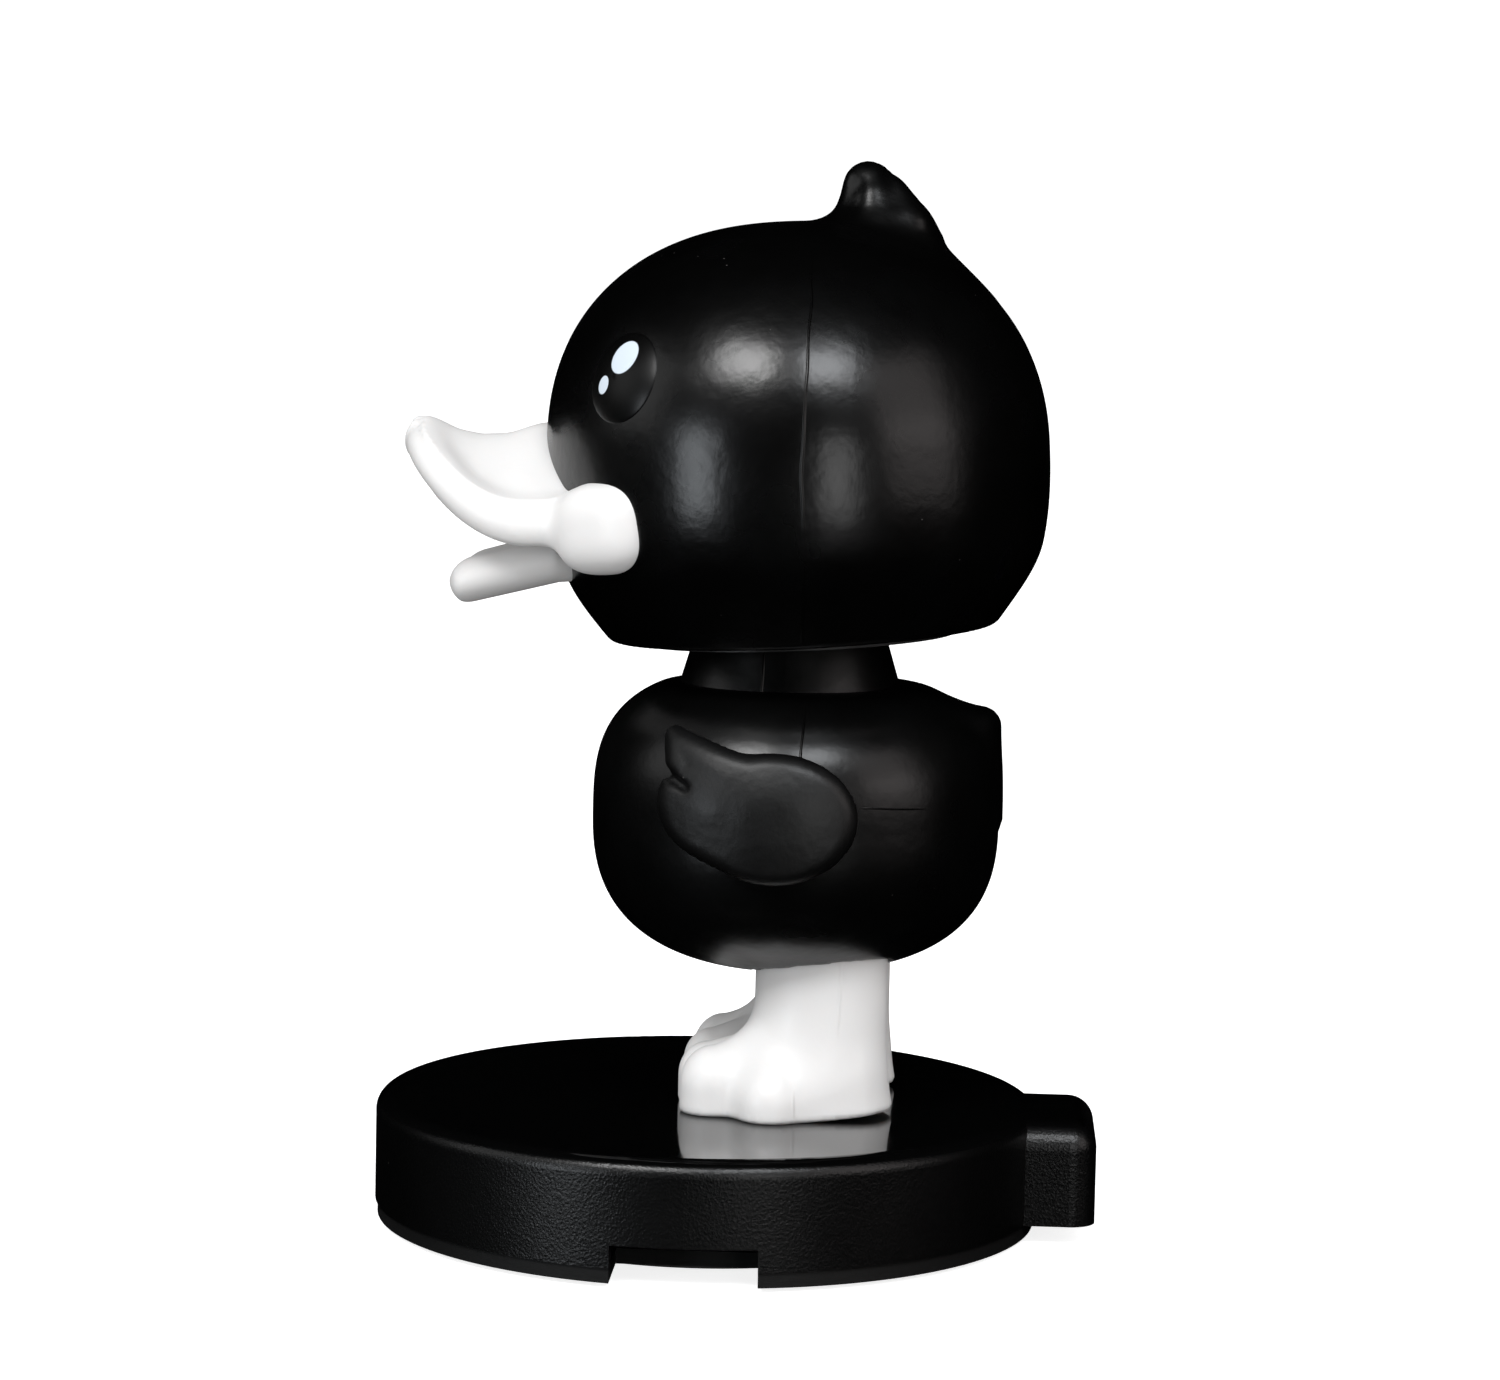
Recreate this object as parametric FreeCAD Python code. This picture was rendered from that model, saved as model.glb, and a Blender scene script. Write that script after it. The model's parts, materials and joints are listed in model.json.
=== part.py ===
import FreeCAD, Part
import math
import os

# A black duck figurine with a nodding head. It stands on a round display base.
# Frame: +Z up, origin at the centre of the base's underside, the duck faces -Y,
# +X is the duck's left side and the plane X = 0 is the plane of symmetry.
# All sizes are in millimetres and all angles in degrees.

V = FreeCAD.Vector

# ---------------------------------------------------------------- driving sizes
# Base
base_r = 40.4             # outer radius of the skirt
base_top_z = 15.2         # height of the glossy top face
skirt_bottom_z = 2.4      # the skirt stops this far above the table
base_wall = 2.0
base_top_t = 2.2
base_edge_r = 2.0         # rounded top edge
lobe_reach = 7.0          # how far the rear lobe stands out of the skirt
lobe_half_w = 11.0
lobe_drop = 0.4           # the lobe's top is this much below the base's top
lobe_edge_r = 3.2
notch_half_w = 8.5        # finger recess in the skirt, on the +X side
notch_h = 2.7
notch_depth = 11.0        # how far the recess runs into the base plate

plate_inset = 0.3         # base plate's edge, inside the skirt's outer face
plate_bottom_z = 0.6
rim_h = 2.0               # locating rim that stands inside the skirt
rim_t = 1.5
fit_gap = 0.1             # clearance between pieces that plug into each other
pad_r = 28.0
pad_sink = 0.4            # depth of the pad's recess in the plate
ballast_r = 24.0
ballast_t = 3.0
ballast_wall = 1.2
ballast_wall_h = 2.4

base_screw_count = 3
base_screw_pcr = 31.0     # radius of the circle that the base screws stand on
base_screw_r = 1.25
base_screw_head_r = 2.6
base_screw_head_h = 1.4
base_screw_len = 8.0
boss_r = 3.4

# Legs and feet
leg_x = 8.5               # each leg's centre plane
leg_y = 13.7
leg_half_d = 7.7
leg_half_w = 6.5
foot_inner_x = 1.2        # the feet toe out: narrow heels, wide webs
foot_outer_x = 18.6
foot_front_y = -3.0
foot_back_y = 22.6
toe_h = 4.5               # height of the toes' rounded edge
ankle_h = 11.1            # where the leg becomes a plain column
leg_plug_h = 3.4          # plug that stands inside the body
leg_screw_r = 1.5
leg_screw_head_r = 2.9
leg_screw_head_h = 1.9
leg_screw_len = 11.0
lug_r = 1.5               # lug that stops a foot turning on its screw
lug_h = 1.8
lug_y = 3.5

# Body
neck_y = 9.0              # neck axis, also the body's centre
body_bottom_z = 31.4
body_mid_z = 50.0
body_top_z = 66.8         # height of the full egg, before the neck's flat
neck_flat_z = 66.0
body_front_d = 24.0       # from the neck axis to the breast
body_back_d = 26.0        # from the neck axis to the rump
body_half_w = 25.0
body_upper_power = 3.0
body_lower_power = 2.6
body_wall = 1.8
tail_root_y = 26.0
tail_tip_y = 35.3         # rearmost point
tail_top_z = 63.6
tail_root_half_w = 9.0
tail_root_half_h = 6.5
tail_tip_half_w = 3.4
tail_tip_half_h = 1.6

# Wings
wing_front_y = -5.5
wing_back_y = 18.4
wing_bottom_z = 44.7
wing_top_z = 62.5
wing_t = 2.0
wing_seat_gap = 0.05
wing_peg_r = 1.6
wing_peg_len = 4.0
wing_peg_y = 8.0
wing_peg_z = 52.0

# Neck collar, spring and the plugs at its two ends
collar_bottom_r = 13.3
collar_top_r = 10.9
collar_h = 8.0
collar_neck_r = 11.0      # spigot in the body's neck hole
collar_neck_h = 5.0
seat_r = 9.0
seat_flange_h = 4.0
seat_clear = 0.05         # running clearance of the swivelling seat
ledge_h = 2.0
ledge_r = 5.5
spring_r = 7.0            # mean radius of the coil
spring_wire_r = 0.65
spring_wire_sides = 12
spring_turns = 6
spring_len = 13.4
spigot_r = 5.8
spigot_h = 3.5
cap_r = 8.6
cap_flange_h = 2.6
cap_gap = 0.5             # air between the top coil and the cap's flange

cap_screw_r = 1.3
cap_screw_head_r = 3.0
cap_screw_head_h = 1.2
cap_screw_len = 12.0
rock_gap = 1.5            # room for the cap to rock below the insert's ceiling
rock_hole_r = 2.1
rock_bore_r = 4.2

# Head
head_lean = 3.4           # the head rests this much nose down
head_y = 10.0
head_under_z = 71.4
head_chamfer_z = 76.8
head_mid_z = 93.5
head_top_z = 122.0
head_half_d = 30.7
head_half_w = 31.4
head_under_share = 0.83   # underside radius as a share of the chamfer's radius
head_upper_power = 2.2
head_lower_depth = 32.3   # depth of the lower egg below the mid height
head_lower_power = 2.4
head_back_shift = 4.0     # the crown sits this far behind the mid section
head_wall = 1.8
insert_r = 18.9           # cup that closes the head's underside
insert_wall = 1.5
insert_flange_r = 20.7
insert_flange_t = 1.2
insert_top_t = 1.8
insert_boss_r = 3.6
insert_boss_h = 6.0

tuft_y = 20.3
tuft_top_z = 129.0

eye_z = 104.1
eye_angle = 42.5          # from the side (+X) towards the beak
eye_r = 5.8
eye_rise = 1.5
eye_sink = 0.7
eye_shank_r = 3.6
eye_shank_len = 2.4

bill_root_half_w = 18.0
bill_reach = 17.3         # from the head's front to the bill's tip
bill_top_z = 99.2
bill_mouth_z = 85.2       # the upper bill's lower edge at the corners of the mouth
lower_bill_reach = 13.0
lower_bill_bottom_z = 77.2
cheek_x = 17.6
cheek_set_back = 6.9      # behind the head's front
cheek_z = 86.5
cheek_r = 5.7
bill_plug_half_w = 9.0
bill_plug_half_h = 3.6
bill_plug_z = 92.0
lower_plug_half_w = 6.0
lower_plug_half_h = 1.6
lower_plug_z = 81.6
bill_plug_in = 4.0        # how far the bill's plugs reach inside the head

# ---------------------------------------------------------------- derived sizes
base_ceiling_z = base_top_z - base_top_t
plate_r = base_r - plate_inset
plate_top_z = skirt_bottom_z
rim_r = base_r - base_wall - fit_gap
pad_top_z = plate_bottom_z + pad_sink
screw_seat_z = plate_top_z + rim_h
ankle_z = base_top_z + ankle_h
leg_top_z = body_bottom_z + leg_plug_h
ledge_z = neck_flat_z + ledge_h
seat_bottom_z = ledge_z + seat_clear
spring_z = seat_bottom_z + seat_flange_h
spring_top_z = spring_z + spring_len
cap_z = spring_top_z + cap_gap
cap_top_z = cap_z + cap_flange_h
pivot_z = cap_z + cap_flange_h / 2
ceiling_z = cap_top_z + rock_gap
head_floor_z = head_under_z + head_wall
neck_pivot = V(0, neck_y, pivot_z)
head_front_y = head_y - head_half_d
bill_tip_y = head_front_y - bill_reach
lower_bill_tip_y = head_front_y - lower_bill_reach
cheek_y = head_front_y + cheek_set_back


# ---------------------------------------------------------------- shape helpers
def cylinder(radius, height, base, axis=V(0, 0, 1)):
    return Part.makeCylinder(radius, height, base, axis)


def box(low, high):
    size = high.sub(low)
    return Part.makeBox(size.x, size.y, size.z, low)


def ring_wire(centre, half_1, half_2, plane="XY"):
    """An oval as one spline edge that always starts on +X, so that lofts never twist."""
    across = V(0, 1, 0) if plane == "XY" else V(0, 0, 1)
    count = 16
    points = []
    for step in range(count):
        angle = 2 * math.pi * step / count
        points.append(centre + V(half_1 * math.cos(angle), 0, 0) + across * (half_2 * math.sin(angle)))
    curve = Part.BSplineCurve()
    curve.interpolate(points, PeriodicFlag=True)
    return Part.Wire([curve.toShape()])


def loft(wires):
    return Part.makeLoft(wires, True, False)


def egg_share(height, depth, power):
    """Half-width of a superellipse, as a share of its widest, at a height from its middle."""
    ratio = min(abs(height) / depth, 0.9999)
    return (1 - ratio ** power) ** (1 / power)


def fused(first, *others):
    shape = first
    for other in others:
        shape = shape.fuse(other)
    return shape.removeSplitter()


def mirrored(shape):
    return shape.mirror(V(0, 0, 0), V(1, 0, 0))


def leaned(shape):
    """Turn a piece of the head nose down about the neck's pivot."""
    turned = shape.copy()
    turned.rotate(neck_pivot, V(1, 0, 0), head_lean)
    return turned


def save(name, shape):
    solids = shape.Solids
    result = solids[0] if len(solids) == 1 else Part.makeCompound(solids)
    if not solids or not result.isValid():
        raise RuntimeError(name + " is not a valid solid")
    result.exportStep("parts/" + name + ".step")
    print(name, len(solids), round(result.Volume, 1))


# ---------------------------------------------------------------- base
def screw_places():
    """The screws are spread evenly and keep clear of the finger recess at +X."""
    places = []
    for index in range(base_screw_count):
        angle = math.pi + 2 * math.pi * index / base_screw_count
        places.append(V(base_screw_pcr * math.cos(angle), base_screw_pcr * math.sin(angle), 0))
    return places


def leg_places():
    return [V(leg_x, leg_y, 0), V(-leg_x, leg_y, 0)]


def lobe_block(inset):
    """The rear lobe, or with an inset the pocket that is cored out of it."""
    low = V(-lobe_half_w + inset, 0, skirt_bottom_z)
    high = V(lobe_half_w - inset, base_r + lobe_reach - inset, base_top_z - lobe_drop - inset)
    return box(low, high)


def rounded_lobe():
    block = lobe_block(0)
    far_y = base_r + lobe_reach
    edges = []
    for edge in block.Edges:
        middle = edge.CenterOfMass
        upright = abs(middle.z - (skirt_bottom_z + base_top_z - lobe_drop) / 2) < 0.01
        top = abs(middle.z - (base_top_z - lobe_drop)) < 0.01
        if (upright or top) and middle.y > 0.01:
            if not (upright and middle.y < far_y - 0.01):
                edges.append(edge)
    return block.makeFillet(lobe_edge_r, edges)


def base_cover():
    height = base_top_z - skirt_bottom_z
    disc = cylinder(base_r, height, V(0, 0, skirt_bottom_z))
    top_edge = [e for e in disc.Edges if abs(e.CenterOfMass.z - base_top_z) < 0.01 and e.Closed]
    disc = disc.makeFillet(base_edge_r, top_edge)
    shell = disc.fuse(rounded_lobe())
    inner_r = base_r - base_wall
    hollow = cylinder(inner_r, base_ceiling_z - skirt_bottom_z, V(0, 0, skirt_bottom_z))
    pocket = lobe_block(base_wall)
    pocket = pocket.fuse(box(V(-lobe_half_w + base_wall, 0, skirt_bottom_z),
                             V(lobe_half_w - base_wall, base_r + lobe_reach - base_wall, skirt_bottom_z + 1)))
    pocket = pocket.cut(cylinder(base_r, height, V(0, 0, skirt_bottom_z)))
    shell = shell.cut(hollow).cut(pocket)
    notch = box(V(0, -notch_half_w, skirt_bottom_z), V(base_r + 1, notch_half_w, skirt_bottom_z + notch_h))
    shell = shell.cut(notch)
    for place in screw_places():
        boss = cylinder(boss_r, base_ceiling_z - screw_seat_z, place + V(0, 0, screw_seat_z))
        pilot = cylinder(base_screw_r, base_ceiling_z - screw_seat_z - 0.5, place + V(0, 0, screw_seat_z))
        shell = shell.fuse(boss).cut(pilot)
    for place in leg_places():
        shell = shell.cut(cylinder(leg_screw_r + fit_gap, base_top_t, place + V(0, 0, base_ceiling_z)))
        lug = V(place.x, lug_y, base_ceiling_z)
        shell = shell.cut(cylinder(lug_r + fit_gap, base_top_t, lug))
    return shell


def base_plate():
    plate = cylinder(plate_r, plate_top_z - plate_bottom_z, V(0, 0, plate_bottom_z))
    rim = cylinder(rim_r, rim_h, V(0, 0, plate_top_z))
    rim = rim.cut(cylinder(rim_r - rim_t, rim_h, V(0, 0, plate_top_z)))
    fence = cylinder(ballast_r + fit_gap + ballast_wall, ballast_wall_h, V(0, 0, plate_top_z))
    fence = fence.cut(cylinder(ballast_r + fit_gap, ballast_wall_h, V(0, 0, plate_top_z)))
    plate = fused(plate, rim, fence)
    notch = box(V(base_r - notch_depth, -notch_half_w, 0), V(base_r + 1, notch_half_w, screw_seat_z))
    plate = plate.cut(notch).cut(cylinder(pad_r + fit_gap, pad_sink, V(0, 0, plate_bottom_z)))
    head_room = base_screw_head_h + fit_gap
    for place in screw_places():
        plate = plate.fuse(cylinder(boss_r, rim_h, place + V(0, 0, plate_top_z)))
        plate = plate.cut(cylinder(base_screw_head_r + fit_gap, head_room, place + V(0, 0, pad_top_z)))
        plate = plate.cut(cylinder(base_screw_r + fit_gap, screw_seat_z, place + V(0, 0, pad_top_z)))
    return plate


def round_screw(place, head_z, head_r, head_h, shank_r, shank_len):
    """Pan-head screw whose head starts at head_z and whose shank runs upwards."""
    head = cylinder(head_r, head_h, place + V(0, 0, head_z))
    rim = [e for e in head.Edges if e.Closed and abs(e.CenterOfMass.z - head_z) < 0.01]
    head = head.makeFillet(head_h * 0.4, rim)
    slot_depth = head_h * 0.45
    for turn in (0, 90):
        slot = Part.makeBox(head_r * 1.1, head_r * 0.24, slot_depth,
                            V(-head_r * 0.55, -head_r * 0.12, head_z))
        slot.rotate(V(0, 0, 0), V(0, 0, 1), turn)
        slot.translate(place)
        head = head.cut(slot)
    point = Part.makeCone(shank_r, shank_r * 0.3, shank_r, place + V(0, 0, head_z + head_h + shank_len - shank_r))
    shank = cylinder(shank_r, shank_len - shank_r, place + V(0, 0, head_z + head_h))
    return fused(head, shank, point)


def base_screws():
    screws = []
    for place in screw_places():
        screws.append(round_screw(place, pad_top_z + fit_gap, base_screw_head_r, base_screw_head_h,
                                  base_screw_r, base_screw_len))
    return Part.makeCompound(screws)


def leg_screws():
    screws = []
    for place in leg_places():
        screws.append(round_screw(place, base_ceiling_z - leg_screw_head_h, leg_screw_head_r,
                                  leg_screw_head_h, leg_screw_r, leg_screw_len))
    return Part.makeCompound(screws)


# ---------------------------------------------------------------- legs
def foot_wire(z):
    """Outline of the left foot: a web that widens from the heel to the toes."""
    web = foot_outer_x - foot_inner_x
    long = foot_back_y - foot_front_y
    shares = [(1.0, 0.45), (0.93, 0.68), (0.7, 0.9), (0.42, 1.0), (0.16, 0.9), (0.05, 0.6), (0.0, 0.3),
              (0.12, 0.08), (0.4, 0.02), (0.62, 0.0), (0.82, 0.1), (0.94, 0.28)]
    points = [V(foot_inner_x + web * x, foot_front_y + long * y, z) for x, y in shares]
    curve = Part.BSplineCurve()
    curve.interpolate(points, PeriodicFlag=True)
    return Part.Wire([curve.toShape()])


def left_leg():
    ankle = ring_wire(V(leg_x, leg_y, ankle_z), leg_half_w, leg_half_d)
    top = ring_wire(V(leg_x, leg_y, leg_top_z), leg_half_w, leg_half_d)
    foot = Part.makeLoft([foot_wire(base_top_z), foot_wire(base_top_z + toe_h)], True, True)
    instep = Part.makeLoft([foot_wire(base_top_z + toe_h), ankle], True, True)
    leg = fused(foot, instep, loft([ankle, top]))
    lug = cylinder(lug_r, lug_h, V(leg_x, lug_y, base_top_z - lug_h))
    pilot_h = leg_screw_len - base_top_t + fit_gap
    pilot = cylinder(leg_screw_r, pilot_h, V(leg_x, leg_y, base_top_z))
    return fused(leg, lug).cut(pilot)


def leg_hole(side):
    """The hole in the body that a leg's plug fills."""
    wall = leg_top_z + 2 - ankle_z
    wires = []
    for height in (ankle_z, ankle_z + wall):
        wires.append(ring_wire(V(side * leg_x, leg_y, height), leg_half_w + fit_gap, leg_half_d + fit_gap))
    return loft(wires)


# ---------------------------------------------------------------- body
def body_sections(grow):
    """Level ovals from the bottom to the top of the body, all grown by the same amount."""
    wires = []
    upper = body_top_z - body_mid_z
    lower = body_mid_z - body_bottom_z
    for share in (0.985, 0.94, 0.85, 0.7, 0.5, 0.25):
        size = egg_share(share, 1, body_lower_power)
        wires.append((body_mid_z - share * (lower + grow), size))
    wires.append((body_mid_z, 1.0))
    for share in (0.25, 0.5, 0.7, 0.85, 0.94, 0.985):
        size = egg_share(share, 1, body_upper_power)
        wires.append((body_mid_z + share * (upper + grow), size))
    middle_y = neck_y + (body_back_d - body_front_d) / 2
    half_d = (body_back_d + body_front_d) / 2 + grow
    return [ring_wire(V(0, middle_y + (neck_y - middle_y) * (1 - size), z), (body_half_w + grow) * size,
                      half_d * size)
            for z, size in wires]


def tail(grow):
    """A short broad tail that ends in a point level with its flat top."""
    wires = []
    for share in (0.0, 0.45, 0.8, 1.0):
        half_w = tail_root_half_w + (tail_tip_half_w - tail_root_half_w) * share + grow
        half_h = tail_root_half_h + (tail_tip_half_h - tail_root_half_h) * share + grow
        y = tail_root_y + (tail_tip_y + grow - tail_root_y) * share
        wires.append(ring_wire(V(0, y, tail_top_z + grow - half_h), half_w, half_h, "XZ"))
    return loft(wires)


def body_outer(grow=0.0):
    return fused(loft(body_sections(grow)), tail(grow))


def body_shell():
    outer = body_outer()
    above = box(V(-60, -60, neck_flat_z), V(60, 90, neck_flat_z + 40))
    shell = outer.cut(above)
    inner = body_outer(-body_wall).cut(box(V(-60, -60, neck_flat_z - body_wall), V(60, 90, neck_flat_z + 40)))
    shell = shell.cut(inner)
    shell = shell.cut(cylinder(collar_neck_r + fit_gap, 20, V(0, neck_y, neck_flat_z - 10)))
    for side in (1, -1):
        shell = shell.cut(leg_hole(side))
        peg = V(0, wing_peg_y, wing_peg_z)
        shell = shell.cut(cylinder(wing_peg_r + fit_gap, 40, peg, V(side, 0, 0)))
    return shell


def wing_outline(x):
    """Face of a wing in a plane of constant x: an oval whose front ends in two feathers."""
    length = wing_back_y - wing_front_y
    height = wing_top_z - wing_bottom_z
    shares = [(0.12, 1.0), (0.03, 0.9), (0.04, 0.74), (0.0, 0.6), (0.05, 0.38), (0.2, 0.17), (0.42, 0.03),
              (0.65, 0.0), (0.87, 0.1), (1.0, 0.4), (0.92, 0.72), (0.7, 0.87), (0.44, 0.83), (0.26, 0.88)]
    points = [V(x, wing_front_y + length * y, wing_bottom_z + height * z) for y, z in shares]
    curve = Part.BSplineCurve()
    curve.interpolate(points, PeriodicFlag=True)
    return Part.Face(Part.Wire([curve.toShape()]))


def left_wing():
    start = body_half_w * 0.6
    slab = wing_outline(start).extrude(V(body_half_w, 0, 0))
    wing = slab.common(body_outer(wing_t)).cut(body_outer(wing_seat_gap))
    wing = max(wing.Solids, key=lambda solid: solid.Volume)
    peg = cylinder(wing_peg_r, wing_peg_len, V(body_half_w - wing_peg_len + wing_t / 2, wing_peg_y, wing_peg_z),
                   V(1, 0, 0))
    return fused(wing, peg)


# ---------------------------------------------------------------- neck
def neck_axis(z):
    return V(0, neck_y, z)


def neck_collar():
    collar = Part.makeCone(collar_bottom_r, collar_top_r, collar_h, neck_axis(neck_flat_z))
    spigot = cylinder(collar_neck_r, collar_neck_h, neck_axis(neck_flat_z - collar_neck_h))
    collar = fused(collar, spigot)
    bore = cylinder(seat_r + seat_clear, collar_h, neck_axis(ledge_z))
    throat = cylinder(ledge_r, collar_neck_h + ledge_h, neck_axis(neck_flat_z - collar_neck_h))
    return collar.cut(bore).cut(throat)


def spring_seat():
    flange = cylinder(seat_r, seat_flange_h, neck_axis(seat_bottom_z))
    spigot = cylinder(spigot_r, spigot_h, neck_axis(spring_z))
    hole = cylinder(cap_screw_head_r, seat_flange_h + spigot_h, neck_axis(seat_bottom_z))
    return fused(flange, spigot).cut(hole)


def neck_spring():
    """Coil spring. Its wire is drawn with narrow flats that keep the area of round wire."""
    coil_h = spring_len - 2 * spring_wire_r
    path = Part.makeHelix(coil_h / spring_turns, coil_h, spring_r)
    step = 2 * math.pi / spring_wire_sides
    corner_r = spring_wire_r * math.sqrt(step / math.sin(step))
    corners = []
    for index in range(spring_wire_sides + 1):
        angle = (index + 0.5) * step
        corners.append(V(spring_r + corner_r * math.cos(angle), 0, corner_r * math.sin(angle)))
    section = Part.Wire(Part.makePolygon(corners))
    coil = Part.Wire(path.Edges).makePipeShell([section], True, True)
    coil.translate(neck_axis(spring_z + spring_wire_r))
    return coil


def spring_cap():
    flange = cylinder(cap_r, cap_flange_h, neck_axis(cap_z))
    spigot = cylinder(spigot_r, spigot_h, neck_axis(cap_z - spigot_h))
    bore_h = spigot_h - 0.8
    cap = fused(flange, spigot)
    cap = cap.cut(cylinder(rock_bore_r, bore_h, neck_axis(cap_z - spigot_h)))
    return cap.cut(cylinder(rock_hole_r, cap_flange_h + spigot_h, neck_axis(cap_z - spigot_h)))


def cap_screw():
    head_z = cap_z - spigot_h + 0.5
    return round_screw(neck_axis(0), head_z, cap_screw_head_r, cap_screw_head_h, cap_screw_r, cap_screw_len)


def head_insert():
    """Cup that closes the head's underside and hangs the head on the spring's cap."""
    cup = cylinder(insert_r, ceiling_z + insert_top_t - head_under_z, neck_axis(head_under_z))
    cup = cup.fuse(cylinder(insert_flange_r, insert_flange_t, neck_axis(head_floor_z)))
    cup = cup.cut(cylinder(insert_r - insert_wall, ceiling_z - head_under_z, neck_axis(head_under_z)))
    boss_bottom = cap_top_z + rock_gap / 2
    boss_h = ceiling_z + insert_top_t + insert_boss_h - boss_bottom
    cup = fused(cup, cylinder(insert_boss_r, boss_h, neck_axis(boss_bottom)))
    return cup.cut(cylinder(cap_screw_r, boss_h - 1, neck_axis(boss_bottom)))


# ---------------------------------------------------------------- head
def head_level(z):
    """Centre y and size share of the head's level section at a height."""
    if z >= head_mid_z:
        rise = (z - head_mid_z) / (head_top_z - head_mid_z)
        return head_y + head_back_shift * rise ** 2, egg_share(rise, 1, head_upper_power)
    share = egg_share(head_mid_z - z, head_lower_depth, head_lower_power)
    return head_y, share


def head_sections(grow):
    wires = []
    _, chamfer = head_level(head_chamfer_z)
    under = chamfer * head_under_share

    def add(z, y, share):
        wires.append(ring_wire(V(0, y, z), (head_half_w + grow) * share, (head_half_d + grow) * share))

    add(head_under_z - grow, head_y, under)
    add(head_chamfer_z, head_y, chamfer)
    return wires, add


def head_egg(grow=0.0):
    """The head without its tuft: a straight chamfered skirt below a smooth egg."""
    skirt, _ = head_sections(grow)
    egg, add = head_sections(grow)
    del egg[0]
    for share in (0.6, 0.3):
        z = head_mid_z - share * (head_mid_z - head_chamfer_z)
        add(z, *head_level(z))
    add(head_mid_z, head_y, 1.0)
    for share in (0.25, 0.5, 0.7, 0.84, 0.93, 0.98):
        z = head_mid_z + share * (head_top_z - head_mid_z)
        y, size = head_level(z)
        add(z + grow * share, y, size)
    return Part.makeLoft(skirt, True, True).fuse(loft(egg))


def tuft():
    """A short lock of hair that rises from the back of the crown and leans forward."""
    rows = [(head_top_z - 9, 0.2, 11.0, 9.5), (head_top_z - 4, 0.4, 8.9, 6.6), (head_top_z, 0.2, 6.3, 4.8),
            (head_top_z + 3.4, 0.0, 4.2, 3.7), (tuft_top_z - 0.9, -0.8, 2.7, 2.5), (tuft_top_z, -1.1, 1.2, 1.1)]
    wires = []
    for z, shift, half_d, half_w in rows:
        wires.append(ring_wire(V(0, tuft_y + shift, z), half_w, half_d))
    return loft(wires)


def eye_frame():
    """Point on the head's skin at the left eye's centre, and the outward normal there."""
    angle = math.radians(eye_angle)

    def skin(turn, z):
        y, share = head_level(z)
        return V(head_half_w * share * math.cos(turn), y - head_half_d * share * math.sin(turn), z)

    centre = skin(angle, eye_z)
    along = skin(angle + 0.01, eye_z) - centre
    up = skin(angle, eye_z + 0.1) - centre
    normal = along.cross(up)
    normal.normalize()
    if normal.x < 0:
        normal = normal * -1
    return centre, normal


def left_eye():
    centre, normal = eye_frame()
    foot = centre - normal * eye_sink
    height = eye_rise + eye_sink
    ball_r = (eye_r ** 2 + height ** 2) / (2 * height)
    ball = Part.makeSphere(ball_r, foot + normal * (height - ball_r))
    dome = ball.common(cylinder(eye_r, height + 1, foot, normal))
    shank = cylinder(eye_shank_r, eye_shank_len, foot - normal * eye_shank_len, normal)
    return fused(dome, shank)


def eye_pocket():
    centre, normal = eye_frame()
    foot = centre - normal * eye_sink
    seat = cylinder(eye_r + fit_gap, eye_sink + 3, foot, normal)
    hole = cylinder(eye_shank_r + fit_gap, 12, foot - normal * 8, normal)
    return seat.fuse(hole)


def bill_plug(half_w, half_h, z, grow):
    """Oval plug along Y that carries a part of the bill through the head's wall."""
    wires = []
    for y in (head_front_y - 2, head_front_y + bill_plug_in + grow * 20):
        wires.append(ring_wire(V(0, y, z), half_w + grow, half_h + grow, "XZ"))
    return loft(wires)


def bill_loft(rows):
    wires = []
    for y, half_w, low, high in rows:
        wires.append(ring_wire(V(0, y, (low + high) / 2), half_w, (high - low) / 2, "XZ"))
    return loft(wires)


def upper_bill_solid():
    """Broad upper bill that curls up at its tip, with a round cheek at each corner."""
    back = head_front_y + 8
    high = bill_top_z
    low = bill_mouth_z
    bill = bill_loft([(back, bill_root_half_w - 1, low - 0.2, high - 0.6),
                      (back - 7, bill_root_half_w, low, high),
                      (back - 12.5, bill_root_half_w - 2.6, low + 0.4, high - 1.2),
                      (back - 17.5, bill_root_half_w - 4, low + 2.4, high - 1),
                      (bill_tip_y + 3.4, bill_root_half_w - 6, low + 6.2, high + 0.4),
                      (bill_tip_y, bill_root_half_w - 11, low + 10, high - 0.2)])
    cheeks = []
    for side in (1, -1):
        cheeks.append(Part.makeSphere(cheek_r, V(side * cheek_x, cheek_y, cheek_z)))
    return fused(bill, *cheeks)


def upper_bill():
    outside = upper_bill_solid().cut(head_egg())
    outside = max(outside.Solids, key=lambda solid: solid.Volume)
    return fused(outside, bill_plug(bill_plug_half_w, bill_plug_half_h, bill_plug_z, 0))


def lower_bill():
    back = head_front_y + 6
    low = lower_bill_bottom_z
    bill = bill_loft([(back, bill_root_half_w - 2, low + 2.4, low + 8.4),
                      (back - 6, bill_root_half_w - 3, low + 1.7, low + 7.8),
                      (back - 12, bill_root_half_w - 5, low + 0.6, low + 7),
                      (lower_bill_tip_y + 2.4, bill_root_half_w - 8, low, low + 5.6),
                      (lower_bill_tip_y, bill_root_half_w - 12, low + 1.4, low + 4.2)])
    bill = bill.cut(upper_bill_solid()).cut(head_egg())
    bill = max(bill.Solids, key=lambda solid: solid.Volume)
    return fused(bill, bill_plug(lower_plug_half_w, lower_plug_half_h, lower_plug_z, 0))


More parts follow.
